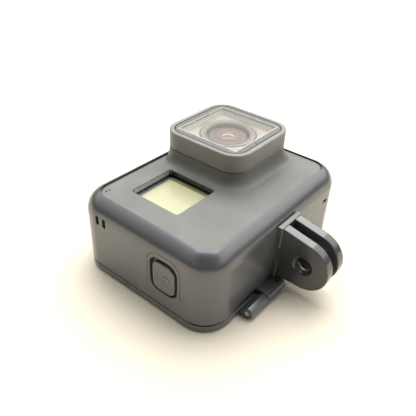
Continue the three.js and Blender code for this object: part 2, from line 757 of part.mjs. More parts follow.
addPiece('inner_chassis', chassisPlate(), looks.aluminium);
screwSpots.forEach(([x, y], index) => {
  const seat = chassis.bottom - 0.05;
  const head = rod('z', screw.head, seat - screw.headHeight, seat, [x, y], 12);
  const shank = rod('z', screw.shank, seat - 0.2, seat + screw.length, [x, y], 12);
  addPiece(`chassis_screw_${index + 1}`, head.add(shank), looks.steel);
});
addPiece('battery_bay', batteryBay(), looks.darkPlastic);
addPiece('battery', batteryCell(), looks.cell);
addPiece(
  'battery_door',
  sidePrism('y', hatchOutline(0, 1.2), -bodyTop, -bodyTop + batteryDoor.thickness),
  looks.darkPlastic,
);
addPiece(
  'battery_door_seal',
  sidePrism('y', hatchOutline(0.6, 1), -bodyTop + 1.4, -bodyTop + 2)
    .subtract(sidePrism('y', hatchOutline(1.4, 0.6), -bodyTop + 1, -bodyTop + 3)),
  looks.rubber,
);
addPiece('side_door', sideDoor(), looks.darkPlastic);
addPiece('side_door_seal', sideDoorSeal(), looks.rubber);
const doorPinReach = door.height / 2 + 1.1;
const doorPin = rod('z', door.pin, door.z - doorPinReach, door.z + doorPinReach, doorPinAt());
addPiece('side_door_pin', doorPin, looks.steel);
addPiece('usb_socket', socket(-1.6, 8.6, 3), looks.steel);
addPiece('video_socket', socket(7.4, 7, 3.4), looks.steel);
addPiece(
  'main_board',
  block(
    [board.left, board.right],
    [-board.half, board.half],
    [board.bottom, board.bottom + board.thickness],
  ),
  looks.circuit,
);
addPiece('processor', block([8, 20], [-16, -4], [board.bottom - 1, board.bottom]), looks.chip);

// The origin goes to the middle of the footprint, at the resting plane.
const footprint = new THREE.Box3().setFromObject(assembly).getCenter(new THREE.Vector3());
assembly.position.set(-footprint.x, -footprint.y, 0);

export default assembly;
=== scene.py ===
"""Looks of an action camera in its mounting frame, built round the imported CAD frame.

Shapes are worked out in millimetres with the camera body's middle at x = y = 0, and moved into
the frame's metres when a mesh is made.
"""

import math

import bmesh
import bpy
from mathutils import Matrix, Vector


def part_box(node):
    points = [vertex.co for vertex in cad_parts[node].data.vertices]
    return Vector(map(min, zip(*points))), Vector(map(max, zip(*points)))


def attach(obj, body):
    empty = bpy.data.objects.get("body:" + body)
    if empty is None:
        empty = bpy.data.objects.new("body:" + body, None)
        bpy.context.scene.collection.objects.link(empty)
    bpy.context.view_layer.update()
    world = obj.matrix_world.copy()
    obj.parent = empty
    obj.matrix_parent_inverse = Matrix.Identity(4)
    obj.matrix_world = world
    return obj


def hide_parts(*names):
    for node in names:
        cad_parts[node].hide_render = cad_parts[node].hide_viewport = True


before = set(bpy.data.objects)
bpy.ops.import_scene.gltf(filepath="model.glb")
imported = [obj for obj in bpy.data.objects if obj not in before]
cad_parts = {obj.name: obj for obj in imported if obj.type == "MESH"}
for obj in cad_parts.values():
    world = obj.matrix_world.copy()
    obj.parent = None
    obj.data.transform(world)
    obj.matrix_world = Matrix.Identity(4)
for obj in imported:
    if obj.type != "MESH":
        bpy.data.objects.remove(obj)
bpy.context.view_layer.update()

MM = 0.001


def node_box(node):
    """A node's lowest and highest corners in millimetres."""
    low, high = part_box(node)
    return [v / MM for v in low], [v / MM for v in high]


# ---- Sizes, from the frame's nodes and the details that only the looks have ------------------

housing_low, housing_high = node_box("front_housing")
rear_low = node_box("rear_housing")[0]
shell_low, shell_high = node_box("frame_shell")
ring_low, ring_high = node_box("lens_cover_ring")
hood_low, hood_high = node_box("lens_mask")
pane_low, pane_high = node_box("lens_cover_glass")
keeper_low, keeper_high = node_box("lens_retaining_ring")
element_low, element_high = node_box("lens_front_element")

SHIFT_Y = (housing_low[1] + housing_high[1]) / 2

BODY_W = housing_high[0] - housing_low[0]
BODY_H = housing_high[1] - housing_low[1]
BODY_R = 6.5
BODY_EDGE = 2.4
BACK_Z = rear_low[2]
PLATE_Z = 24.5
SEAM_Z = housing_high[2]
TOP_Z = ring_high[2]
GAP = 0.3

FRAME_W = shell_high[0] - shell_low[0]
FRAME_H = 2 * (shell_high[1] - SHIFT_Y)
FRAME_R = 8.5
FRAME_EDGE = 4.0
CREST_Z = shell_high[2]
PARTING_Z = 2.5
LIP_W, LIP_H, LIP_R = 58.6, 42.5, 4.5
BEZEL_TOP = 2.4

LENS_X = (ring_low[0] + ring_high[0]) / 2
LENS_Y = (ring_low[1] + ring_high[1]) / 2 - SHIFT_Y
LENS_SIDE = ring_high[0] - ring_low[0]
LENS_R = 6.3

STATUS_X, STATUS_Y, STATUS_W, STATUS_H = -13.75, 4.95, 16.2, 17.6

HINGE_Y, HINGE_Z, HINGE_R = -27.6, 2.0, 1.9
FINGER_X, FINGER_Y, FINGER_Z, FINGER_R = 0.4, -33.9, 12.1, 7.7
FINGER_T, FINGER_GAP, FINGER_HOLE, FINGER_RISE = 3.0, 3.1, 2.55, 0.19

PAD_Z, PAD_H, PAD_R = 12.7, 9.4, 2.2
HOLE_Z, HOLE_H, HOLE_SIDE, HOLE_R = 13.1, 11.2, 0.85, 3.0
MODE_Y, MODE_W = -9.3, 7.9
SHUTTER_X, SHUTTER_W = -13.0, 11.0


# ---- Mesh making ----------------------------------------------------------------------------

def outline(width, height, corner, x=0.0, y=0.0, facets=14):
    """A rectangle with round corners, as points counted anticlockwise."""
    points = []
    for quarter in range(4):
        side_x = 1 if quarter in (0, 3) else -1
        side_y = 1 if quarter < 2 else -1
        for step in range(facets + 1):
            angle = (quarter + step / facets) * math.pi / 2
            points.append((
                x + side_x * (width / 2 - corner) + corner * math.cos(angle),
                y + side_y * (height / 2 - corner) + corner * math.sin(angle),
            ))
    return points


def circle(radius, x=0.0, y=0.0, facets=64):
    return [
        (x + radius * math.cos(2 * math.pi * i / facets), y + radius * math.sin(2 * math.pi * i / facets))
        for i in range(facets)
    ]


def place(axis, a, b, station):
    """A point of an outline (a, b) at a station along an axis."""
    if axis == "x":
        return (station, a, b)
    if axis == "y":
        return (a, station, b)
    return (a, b, station)


def make_object(name, mesh_builder):
    """An object from a bmesh in design millimetres, moved to the frame's metres."""
    mesh = bpy.data.meshes.new(name)
    bmesh.ops.recalc_face_normals(mesh_builder, faces=mesh_builder.faces)
    mesh_builder.transform(Matrix.Translation((0, SHIFT_Y * MM, 0)) @ Matrix.Scale(MM, 4))
    mesh_builder.to_mesh(mesh)
    mesh_builder.free()
    obj = bpy.data.objects.new(name, mesh)
    bpy.context.scene.collection.objects.link(obj)
    return obj


def loft(axis, levels, name="piece"):
    """A closed skin over a stack of (station, outline) with as many points each."""
    bm = bmesh.new()
    rows = [[bm.verts.new(place(axis, a, b, station)) for a, b in points] for station, points in levels]
    count = len(rows[0])
    for low, high in zip(rows, rows[1:]):
        for i in range(count):
            j = (i + 1) % count
            bm.faces.new((low[i], low[j], high[j], high[i]))
    bm.faces.new(rows[0][::-1])
    bm.faces.new(rows[-1])
    return make_object(name, bm)


def prism(axis, points, start, end, name="piece"):
    return loft(axis, [(start, points), (end, points)], name)


def turned(profile, x, y, name="piece", facets=96):
    """A piece turned round a vertical axis. The profile is closed, or starts and ends on the axis."""
    bm = bmesh.new()
    rings = []
    for radius, z in profile:
        if radius < 1e-6:
            rings.append([bm.verts.new((x, y, z))])
        else:
            rings.append([bm.verts.new((px, py, z)) for px, py in circle(radius, x, y, facets)])
    closed = profile[0][0] > 1e-6
    pairs = list(zip(rings, rings[1:])) + ([(rings[-1], rings[0])] if closed else [])
    for low, high in pairs:
        for i in range(facets):
            j = (i + 1) % facets
            corners = [low[i % len(low)], low[j % len(low)], high[j % len(high)], high[i % len(high)]]
            unique = list(dict.fromkeys(corners))
            if len(unique) > 2:
                bm.faces.new(unique)
    return make_object(name, bm)


def rounded_bar(axis, radius, start, end, centre, edge=0.15, name="piece", facets=40):
    """A round bar with softened ends."""
    levels = []
    steps = 4
    for step in range(steps + 1):
        angle = step / steps * math.pi / 2
        inset = edge * (1 - math.cos(math.pi / 2 - angle))
        levels.append((start + edge * (1 - math.sin(angle)), radius - inset))
    for step in range(steps + 1):
        angle = step / steps * math.pi / 2
        inset = edge * (1 - math.sin(math.pi / 2 - angle))
        levels.append((end - edge * (1 - math.cos(angle)), radius - inset))
    levels = sorted(set((round(s, 6), round(r, 6)) for s, r in levels))
    return loft(axis, [(s, circle(r, centre[0], centre[1], facets)) for s, r in levels], name)


def tube_along(points, radius, name="piece", sides=10):
    """A closed round tube through a list of points."""
    bm = bmesh.new()
    rows = []
    path = [Vector(p) for p in points]
    side = None
    for i, point in enumerate(path):
        ahead = path[min(i + 1, len(path) - 1)] - path[max(i - 1, 0)]
        ahead.normalize()
        if side is None:
            side = ahead.orthogonal().normalized()
        side = (side - ahead * side.dot(ahead)).normalized()
        other = ahead.cross(side)
        rows.append([
            bm.verts.new(point + radius * (math.cos(2 * math.pi * k / sides) * side
                                           + math.sin(2 * math.pi * k / sides) * other))
            for k in range(sides)
        ])
    for low, high in zip(rows, rows[1:]):
        for i in range(sides):
            j = (i + 1) % sides
            bm.faces.new((low[i], low[j], high[j], high[i]))
    bm.faces.new(rows[0][::-1])
    bm.faces.new(rows[-1])
    return make_object(name, bm)


def combine(base, others, operation):
    """Joins or cuts a piece with others, which are used up."""
    for other in others:
        step = base.modifiers.new("step", "BOOLEAN")
        step.operation = operation
        step.solver = "MANIFOLD"
        step.object = other
    bpy.context.view_layer.update()
    graph = bpy.context.evaluated_depsgraph_get()
    result = bpy.data.meshes.new_from_object(base.evaluated_get(graph), depsgraph=graph)
    base.modifiers.clear()
    old = base.data
    base.data = result
    bpy.data.meshes.remove(old)
    for other in others:
        mesh = other.data
        bpy.data.objects.remove(other)
        bpy.data.meshes.remove(mesh)
    return base


def cut(base, *others):
    return combine(base, others, "DIFFERENCE")


def join(base, *others):
    return combine(base, others, "UNION")


def smooth(obj, angle=28):
    """Smooth shading between sharp edges, with flat faces kept flat."""
    mesh = obj.data
    mesh.polygons.foreach_set("use_smooth", [True] * len(mesh.polygons))
    mesh.set_sharp_from_angle(angle=math.radians(angle))
    weighted = obj.modifiers.new("weighted", "WEIGHTED_NORMAL")
    weighted.mode = "FACE_AREA"
    weighted.weight = 80
    weighted.keep_sharp = True
    return obj


def finish_piece(obj, name, body, look, replaced=(), angle=28):
    obj.name = name
    obj.data.name = name
    obj.data.materials.clear()
    obj.data.materials.append(look)
    smooth(obj, angle)
    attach(obj, body)
    if replaced:
        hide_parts(*replaced)
    return obj


def rounding(start, end, low_edge, high_edge, shape, steps=8):
    """Levels of a block whose outline shape(inset) is rounded over at its ends."""
    levels = []
    if low_edge > 0:
        for step in range(steps):
            angle = step / steps * math.pi / 2
            levels.append((start + low_edge * (1 - math.cos(angle)), shape(low_edge * (1 - math.sin(angle)))))
        levels.append((start + low_edge, shape(0)))
    else:
        levels.append((start, shape(0)))
    if high_edge > 0:
        levels.append((end - high_edge, shape(0)))
        for step in range(1, steps + 1):
            angle = step / steps * math.pi / 2
            inset = high_edge * (1 - math.cos(angle))
            levels.append((end - high_edge + high_edge * math.sin(angle), shape(inset)))
    else:
        levels.append((end, shape(0)))
    return levels


def flared(axis, shape, inner, outer, flare, direction=1, steps=4):
    """A cutter that widens round the rim at its outer end, so that the rim comes out rounded.

    shape(margin) is the opening's outline; outer is the face that the rim lies on.
    """
    levels = [(inner, shape(0)), (outer - direction * flare, shape(0))]
    for step in range(1, steps + 1):
        angle = step / steps * math.pi / 2
        levels.append((
            outer - direction * flare * (1 - math.sin(angle)),
            shape(flare * (1 - math.cos(angle))),
        ))
    levels.append((outer + direction * 0.6, shape(flare)))
    if direction < 0:
        levels = levels[::-1]
    return loft(axis, levels)


# ---- Materials ------------------------------------------------------------------------------

class Nodes:
    """A small helper for building a material's node tree."""

    def __init__(self, name):
        self.material = bpy.data.materials.new(name)
        self.material.use_nodes = True
        self.tree = self.material.node_tree
        self.shader = self.tree.nodes["Principled BSDF"]
        self.where = self.tree.nodes.new("ShaderNodeTexCoord").outputs["Object"]

    def add(self, kind, settings=(), links=()):
        node = self.tree.nodes.new(kind)
        for key, value in dict(settings).items():
            if hasattr(node, key):
                setattr(node, key, value)
            else:
                node.inputs[key].default_value = value
        for socket, source in dict(links).items():
            self.tree.links.new(source, node.inputs[socket])
        return node

    def noise(self, scale, detail=3.0, rough=0.55, where=None):
        node = self.add(
            "ShaderNodeTexNoise",
            {"Scale": scale, "Detail": detail, "Roughness": rough},
            {"Vector": where or self.where},
        )
        return node.outputs["Fac"]

    def ramp(self, source, low, high, start, end):
        """A value that runs from start to end while source runs from low to high."""
        node = self.add(
            "ShaderNodeMapRange",
            {"From Min": low, "From Max": high, "To Min": start, "To Max": end},
            {"Value": source},
        )
        return node.outputs["Result"]

    def blend(self, factor, first, second):
        """A colour between two colours or colour sockets."""
        node = self.add("ShaderNodeMix", {"data_type": "RGBA"}, {"Factor": factor})
        for index, value in ((6, first), (7, second)):
            if isinstance(value, tuple):
                node.inputs[index].default_value = (*value, 1.0)
            else:
                self.tree.links.new(value, node.inputs[index])
        return node.outputs[2]

    def link(self, source, socket):
        self.tree.links.new(source, self.shader.inputs[socket])

    def bump(self, height, distance, strength=1.0, after=None):
        links = {"Height": height}
        if after is not None:
            links["Normal"] = after
        node = self.add("ShaderNodeBump", {"Distance": distance, "Strength": strength}, links)
        return node.outputs["Normal"]


def moulded_plastic(name, colour, roughness, grain=0.00002, dust=0.35, specular=0.5, spread=0.12):
    """Moulded plastic with a fine spark-eroded grain, faint handling marks and specks of dust."""
    n = Nodes(name)
    broad = n.noise(70.0, 3.0)
    cloud = n.noise(260.0, 4.0)
    darker = tuple(c * (1 - spread) for c in colour)
    lighter = tuple(c * (1 + spread) for c in colour)
    base = n.blend(n.ramp(broad, 0.35, 0.65, 0.0, 1.0), darker, lighter)
    specks = n.add("ShaderNodeTexVoronoi", {"Scale": 900.0}, {"Vector": n.where}).outputs["Distance"]
    few = n.noise(420.0, 1.0)
    near = n.ramp(specks, 0.05, 0.11, 1.0, 0.0)
    chosen = n.ramp(few, 0.64, 0.68, 0.0, dust)
    speck = n.add("ShaderNodeMath", {"operation": "MULTIPLY"}).outputs[0]
    n.tree.links.new(near, speck.node.inputs[0])
    n.tree.links.new(chosen, speck.node.inputs[1])
    n.link(n.blend(speck, base, (0.3, 0.29, 0.27)), "Base Color")
    n.link(n.ramp(cloud, 0.3, 0.7, roughness - 0.02, roughness + 0.03), "Roughness")
    fine = n.noise(9000.0, 2.0)
    n.link(n.bump(fine, grain), "Normal")
    n.shader.inputs["Specular IOR Level"].default_value = specular
    return n.material


def brushed_metal(name, colour, roughness, along=(1, 1, 40)):
    n = Nodes(name)
    stretch = n.add("ShaderNodeMapping", {"Scale": along}, {"Vector": n.where}).outputs[0]
    lines = n.noise(600.0, 4.0, where=stretch)
    cloud = n.noise(300.0, 3.0)
    n.link(n.blend(n.ramp(cloud, 0.3, 0.7, 0.0, 1.0), tuple(c * 0.85 for c in colour), colour), "Base Color")
    n.link(n.ramp(lines, 0.3, 0.7, roughness - 0.08, roughness + 0.1), "Roughness")
    n.link(n.bump(lines, 0.00001), "Normal")
    n.shader.inputs["Metallic"].default_value = 1.0
    return n.material


def soft_rubber(name, colour):
    n = Nodes(name)
    cloud = n.noise(400.0, 4.0)
    n.link(n.blend(cloud, tuple(c * 0.8 for c in colour), tuple(c * 1.25 for c in colour)), "Base Color")
    n.link(n.ramp(cloud, 0.3, 0.7, 0.72, 0.88), "Roughness")
    n.link(n.bump(n.noise(5000.0, 3.0), 0.00002), "Normal")
    return n.material


def circuit_material(name):
    """Solder mask with tracks, pads and a darker weave."""
    n = Nodes(name)
    tracks = n.add("ShaderNodeTexBrick", {"Scale": 500.0, "Mortar Size": 0.06}, {"Vector": n.where})
    tracks.inputs["Color1"].default_value = (0.010, 0.085, 0.038, 1)
    tracks.inputs["Color2"].default_value = (0.014, 0.11, 0.05, 1)
    tracks.inputs["Mortar"].default_value = (0.03, 0.2, 0.09, 1)
    pads = n.add("ShaderNodeTexVoronoi", {"Scale": 700.0}, {"Vector": n.where}).outputs["Distance"]
    copper = n.ramp(pads, 0.1, 0.14, 1.0, 0.0)
    n.link(n.blend(copper, tracks.outputs["Color"], (0.62, 0.5, 0.28)), "Base Color")
    n.link(n.ramp(n.noise(900.0), 0.3, 0.7, 0.3, 0.45), "Roughness")
    n.link(n.bump(copper, 0.00003), "Normal")
    return n.material


def window_glass(name, tint, shine=1.0, bend=1.5, smudge=0.03):
    """A thin polished pane: clear where looked through, with its own mirror and faint smudges."""
    n = Nodes(name)
    clear = n.add("ShaderNodeBsdfTransparent", {"Color": (*tint, 1.0)})
    mirror = n.add("ShaderNodeBsdfGlossy", {"Color": (shine, shine, shine * 0.97, 1.0), "Roughness": smudge})
    marks = n.noise(180.0, 3.0)
    n.tree.links.new(n.ramp(marks, 0.35, 0.7, smudge, smudge + 0.05), mirror.inputs["Roughness"])
    fresnel = n.add("ShaderNodeFresnel", {"IOR": bend})
    side = n.add("ShaderNodeNewGeometry")
    outside = n.add("ShaderNodeMath", {"operation": "SUBTRACT"})
    outside.inputs[0].default_value = 1.0
    n.tree.links.new(side.outputs["Backfacing"], outside.inputs[1])
    share = n.add("ShaderNodeMath", {"operation": "MULTIPLY"})
    n.tree.links.new(fresnel.outputs[0], share.inputs[0])
    n.tree.links.new(outside.outputs[0], share.inputs[1])
    mix = n.add("ShaderNodeMixShader")
    n.tree.links.new(share.outputs[0], mix.inputs[0])
    n.tree.links.new(clear.outputs[0], mix.inputs[1])
    n.tree.links.new(mirror.outputs[0], mix.inputs[2])
    n.tree.nodes.remove(n.shader)
    n.tree.links.new(mix.outputs[0], n.tree.nodes["Material Output"].inputs["Surface"])
    return n.material


def painted_glint_arc(n, where, distance, under, tint):
    """A painted glint: a thin bright arc on the lens, bowed away from the front left corner."""
    toward = (-0.79, -0.61, 0.0)
    centre = n.add("ShaderNodeVectorMath", {"operation": "SUBTRACT"}, {0: where})
    centre.inputs[1].default_value = tuple(distance * c for c in toward)
    span = n.add("ShaderNodeVectorMath", {"operation": "LENGTH"}, {0: centre.outputs[0]})
    rise = n.ramp(span.outputs["Value"], 0.00175, 0.0019, 0.0, 1.0)
    fall = n.ramp(span.outputs["Value"], 0.0021, 0.00225, 1.0, 0.0)
    side = n.add("ShaderNodeVectorMath", {"operation": "DOT_PRODUCT"}, {0: centre.outputs[0]})
    side.inputs[1].default_value = toward
    cap = n.ramp(side.outputs["Value"], -0.0012, -0.0008, 1.0, 0.0)
    band = n.add("ShaderNodeMath", {"operation": "MULTIPLY"}, {0: rise, 1: fall})
    arc = n.add("ShaderNodeMath", {"operation": "MULTIPLY"}, {0: band.outputs[0], 1: cap})
    return n.blend(arc.outputs[0], under, tint)


def lens_element(name, colour, roughness=0.06, coat=1.0):
    """Coated lens glass: a dim warm depth with painted reflections, as rings round its axis and glint arcs,
    and painted shade darkening towards the rim.
    """
    n = Nodes(name)
    offset = n.add("ShaderNodeVectorMath", {"operation": "SUBTRACT"}, {0: n.where})
    offset.inputs[1].default_value = (LENS_X * MM, (LENS_Y + SHIFT_Y) * MM, 0.0)
    flat = n.add("ShaderNodeVectorMath", {"operation": "MULTIPLY"}, {0: offset.outputs[0]})
    flat.inputs[1].default_value = (1.0, 1.0, 0.0)
    reach = n.add("ShaderNodeVectorMath", {"operation": "LENGTH"}, {0: flat.outputs[0]})
    # Painted reflection and shade by distance from the lens axis: pinkish in the middle, rings of painted
    # reflection at given radii, painted shade towards the rim.
    shade = n.add("ShaderNodeValToRGB", {}, {"Fac": n.ramp(reach.outputs["Value"], 0.0, 0.0067, 0.0, 1.0)})
    stops = shade.color_ramp.elements
    stops[0].position, stops[0].color = 0.0, (0.34, 0.2, 0.195, 1)
    stops[1].position, stops[1].color = 1.0, (0.28, 0.22, 0.2, 1)
    rings = ((0.12, (0.3, 0.17, 0.165)), (0.27, (0.2, 0.12, 0.115)), (0.44, colour),
             (0.47, (0.36, 0.24, 0.23)), (0.51, colour), (0.74, colour), (0.78, (0.34, 0.26, 0.24)),
             (0.83, colour), (0.94, (0.1, 0.07, 0.065)))
    for position, tint in rings:
        stop = stops.new(position)
        stop.color = (*tint, 1)
    smear = n.ramp(n.noise(300.0, 2.0), 0.3, 0.7, 0.0, 0.25)
    glass = n.blend(smear, shade.outputs["Color"], colour)
    # Painted glints: a pale arc and a pink arc, standing in for reflections off the lens elements.
    for distance, tint in ((0.0027, (0.9, 0.82, 0.8)), (0.0046, (0.62, 0.27, 0.29))):
        glass = painted_glint_arc(n, flat.outputs[0], distance, glass, tint)
    n.link(glass, "Base Color")
    n.link(n.ramp(n.noise(500.0), 0.3, 0.7, roughness, roughness + 0.05), "Roughness")
    n.shader.inputs["Coat Weight"].default_value = coat
    n.shader.inputs["Specular IOR Level"].default_value = 0.5 * coat
    n.shader.inputs["Coat Roughness"].default_value = 0.03
    return n.material


def display_material(name, colour, low):
    """Reflective display film: pale, with a fine grain of segments and a slow tint."""
    n = Nodes(name)
    slow = n.noise(60.0, 1.0)
    grain = n.noise(4000.0, 1.0)
    tinted = n.blend(n.ramp(slow, 0.35, 0.65, 0.0, 1.0), low, colour)
    n.link(n.blend(n.ramp(grain, 0.3, 0.7, 0.0, 0.12), tinted, tuple(c * 0.85 for c in colour)), "Base Color")
    n.link(n.ramp(grain, 0.3, 0.7, 0.35, 0.5), "Roughness")
    return n.material


def plain_film(name, colour, roughness):
    n = Nodes(name)
    cloud = n.noise(350.0, 3.0)
    n.link(n.blend(cloud, tuple(c * 0.85 for c in colour), tuple(c * 1.15 for c in colour)), "Base Color")
    n.link(n.ramp(cloud, 0.3, 0.7, roughness - 0.05, roughness + 0.08), "Roughness")
    n.link(n.bump(n.noise(2500.0), 0.00001), "Normal")
    return n.material


LOOKS = {
    "frame": moulded_plastic(
        "frame_plastic", (0.084, 0.088, 0.094), 0.23, grain=0.000003, spread=0.05, specular=1.0,
    ),
    "fingers": moulded_plastic(
        "finger_plastic", (0.062, 0.063, 0.065), 0.12, grain=0.000002, dust=0.6, specular=0.8,
    ),
    "soft_touch": moulded_plastic("soft_touch_front", (0.166, 0.166, 0.154), 0.5, grain=0.00003, dust=0.3),
    "lens_block": moulded_plastic("lens_block_plastic", (0.264, 0.257, 0.241), 0.4, dust=0.15, specular=0.3),
    "dark": moulded_plastic("dark_plastic", (0.016, 0.016, 0.016), 0.45, dust=0.1),
    "hood": moulded_plastic("lens_hood", (0.47, 0.425, 0.375), 0.45, dust=0.0),
    "print_band": plain_film("print_band", (0.105, 0.108, 0.094), 0.28),
    "print_line": plain_film("print_line", (0.46, 0.445, 0.40), 0.35),
    "ring_grey": moulded_plastic("lens_ring_grey", (0.27, 0.24, 0.215), 0.35, dust=0.0),
    "glass": window_glass("cover_glass", (0.93, 0.93, 0.9)),
    "window": window_glass("window_glass", (0.97, 0.97, 0.95), shine=0.2),
    "touch": plain_film("touch_glass_black", (0.006, 0.006, 0.007), 0.07),
    # Painted reflections and shade: both lens looks carry rings, a darker rim and glint arcs.
    "lens": lens_element("lens_coating_painted_reflections", (0.16, 0.10, 0.095), 0.25, 0.15),
    "deep_lens": lens_element("deep_lens", (0.1, 0.07, 0.08)),
    "display": display_material("display_film", (0.72, 0.705, 0.48), (0.69, 0.675, 0.455)),
    "display_border": plain_film("display_border", (0.34, 0.34, 0.34), 0.35),
    # Painted light: a pale strip for the display recess's far wall.
    "painted_wall_light": plain_film("painted_wall_light", (0.50, 0.50, 0.51), 0.4),
    # Painted shadow: a black sheet for the display recess's right wall.
    "painted_wall_shadow": plain_film("painted_wall_shadow", (0.012, 0.013, 0.016), 0.3),
    "recess_line": plain_film("recess_line", (0.12, 0.14, 0.17), 0.3),
    # Painted shadow: the olive strip on the display's right edge.
    "display_shade": plain_film("display_shade", (0.30, 0.29, 0.12), 0.4),
    "steel": brushed_metal("steel", (0.66, 0.58, 0.53), 0.3),
    "alloy": brushed_metal("light_alloy", (0.62, 0.62, 0.63), 0.38),
    "rubber": soft_rubber("seal_rubber", (0.02, 0.02, 0.021)),
    "board": circuit_material("circuit_board"),
    "cell": plain_film("battery_wrap", (0.05, 0.055, 0.068), 0.4),
    "chip": plain_film("chip_package", (0.02, 0.02, 0.022), 0.5),
}


# ---- Mounting frame ---------------------------------------------------------------------------

def body_block(start, end, low_edge, high_edge, grow=0.0, name="body_block", steps=8):
    def shape(inset):
        return outline(BODY_W + 2 * (grow - inset), BODY_H + 2 * (grow - inset), BODY_R + grow - inset)
    low = low_edge + grow if low_edge else 0
    high = high_edge + grow if high_edge else 0
    bottom, top = start - (grow if low else 0), end + (grow if high else 0)
    return loft("z", rounding(bottom, top, low, high, shape, steps), name)


def body_room():
    return body_block(BACK_Z, PLATE_Z, BODY_EDGE, BODY_EDGE, GAP)


def frame_outline(inset):
    return outline(FRAME_W - 2 * inset, FRAME_H - 2 * inset, FRAME_R - inset, facets=18)


def lip_outline(margin):
    return outline(LIP_W + 2 * margin, LIP_H + 2 * margin, LIP_R + margin)


def pad_opening(centre, width, margin):
    return outline(width + 2 * (HOLE_SIDE + margin), HOLE_H + 2 * margin, HOLE_R + margin, centre, HOLE_Z)


def knuckle_outline(arm_top, arm_bottom, inset=0.0):
    """A knuckle's side: a round end on the hinge axis, tapering to its arm on the frame wall."""
    radius = HINGE_R - inset
    wall = -FRAME_H / 2 + 1.2
    points = [(wall, arm_bottom + inset)]
    for step in range(25):
        angle = -math.pi / 2 - step / 24 * math.pi
        points.append((HINGE_Y + radius * math.cos(angle), HINGE_Z + radius * math.sin(angle)))
    points.append((-FRAME_H / 2, arm_top - inset))
    points.append((wall, arm_top - inset))
    return points


def knuckle(start, end, arm_top, arm_bottom):
    edge = 0.2
    angles = (0, math.pi / 6, math.pi / 3, math.pi / 2)

    def side(inset):
        return knuckle_outline(arm_top, arm_bottom, inset)

    levels = [(start + edge * (1 - math.cos(a)), side(edge * (1 - math.sin(a)))) for a in angles]
    levels += [(end - edge * (1 - math.sin(a)), side(edge * (1 - math.cos(a)))) for a in angles]
    return loft("x", levels)


def groove_path():
    """The fine groove that runs round the mode pad, open towards the back."""
    left, right, top, radius = -15.2, -3.7, 20.2, 3.8
    points = [(left, 8.6)]
    for step in range(11):
        angle = math.pi - step / 10 * math.pi / 2
        points.append((left + radius + radius * math.cos(angle), top - radius + radius * math.sin(angle)))
    for step in range(11):
        angle = math.pi / 2 - step / 10 * math.pi / 2
        points.append((right - radius + radius * math.cos(angle), top - radius + radius * math.sin(angle)))
    points.append((right, 9.2))
    return [(-FRAME_W / 2, y, z) for y, z in points]


def side_opening(margin):
    return outline(23.4 + 2 * margin, 12.8 + 2 * margin, 2.5 + margin, 1.7, 14.0)


def vent_slot(margin):
    return outline(2.6 + 2 * margin, 1 + 2 * margin, 0.49 + margin, 23.6, 16.0, 8)


def frame_shell():
    tilt = math.radians(20)
    radius = FRAME_EDGE / (1 - math.sin(tilt))
    levels = [(PARTING_Z + 0.22 + 0.25 * (1 - math.cos(a)), frame_outline(0.25 * (1 - math.sin(a))))
              for a in (0, math.pi / 6, math.pi / 3, math.pi / 2)]
    for step in range(15):
        lean = math.pi / 2 - step / 14 * (math.pi / 2 - tilt)
        levels.append((
            CREST_Z - radius * math.cos(tilt) + radius * math.cos(lean),
            frame_outline(radius * (1 - math.sin(lean))),
        ))
    shell = loft("z", levels)
    left, right, top = -FRAME_W / 2, FRAME_W / 2, FRAME_H / 2
    cutters = [
        body_room(),
        flared("z", lip_outline, 23.0, CREST_Z, 0.2),
        flared("x", lambda m: pad_opening(MODE_Y, MODE_W, m), -BODY_W / 2, left, 0.3, -1),
        prism("x", pad_opening(MODE_Y, MODE_W, 0.8), -BODY_W / 2 - GAP - 0.65, -BODY_W / 2),
        flared("y", lambda m: pad_opening(SHUTTER_X, SHUTTER_W, m), BODY_H / 2, top, 0.3, 1),
        prism("y", pad_opening(SHUTTER_X, SHUTTER_W, 0.8), BODY_H / 2, BODY_H / 2 + GAP + 0.65),
        flared("x", side_opening, BODY_W / 2, right, 0.35, 1),
        tube_along(groove_path(), 0.17),
    ]
    for y in (13.1, 15.8):
        def slot(margin, y=y):
            return outline(1.25 + 2 * margin, 2.9 + 2 * margin, 0.62 + margin, y, 19.2, 8)
        cutters.append(flared("x", slot, -BODY_W / 2, left, 0.12, -1))
    cutters.append(flared("y", vent_slot, -BODY_H / 2, -top, 0.1, -1))
    notch = [(-25.6, 2.0), (-12.05, 2.0), (-12.05, 4.4), (-19.0, 4.4)]
    cutters.append(prism("y", notch, -top - 1, -top + 2.0))
    cut(shell, *cutters)
    ear = knuckle(-11.9, -3.2, 3.9, PARTING_Z)
    below = prism("y", [(-13, -1), (-2, -1), (-2, PARTING_Z), (-13, PARTING_Z)], -top, -top + 3)
    cut(ear, below, body_room(), rounded_bar("x", 0.78, -21, -4.6, (HINGE_Y, HINGE_Z), 0.01))
    dimple = rounded_bar("z", 0.55, 3.2, 4.6, (-5.6, -27.9), 0.1)
    cut(ear, dimple)
    return join(shell, ear)


def bezel_plate():
    plate = loft("z", rounding(0, BEZEL_TOP, 0.7, 0.2, frame_outline, 6))
    top = FRAME_H / 2
    view = flared("z", lambda m: outline(56 + 2 * m, 38.6 + 2 * m, 3 + m), BEZEL_TOP + 1, 0, 0.4, -1)
    near, far = HINGE_Y - 3, -top + 0.9
    swing = prism("z", [(-12.2, near), (-2.9, near), (-2.9, far), (-12.2, far)], -1, 4)
    cut(plate, body_room(), view, swing)
    parts = [knuckle(-19.9, -12.2, 2.2, 0.15)]
    for start, end in ((-26.1, -23.9), (-7.3, -5.1)):
        parts.append(latch_ear(start, end))
    cut(parts[0], rounded_bar("x", 0.78, -21, -4.6, (HINGE_Y, HINGE_Z), 0.01))
    return join(plate, *parts)


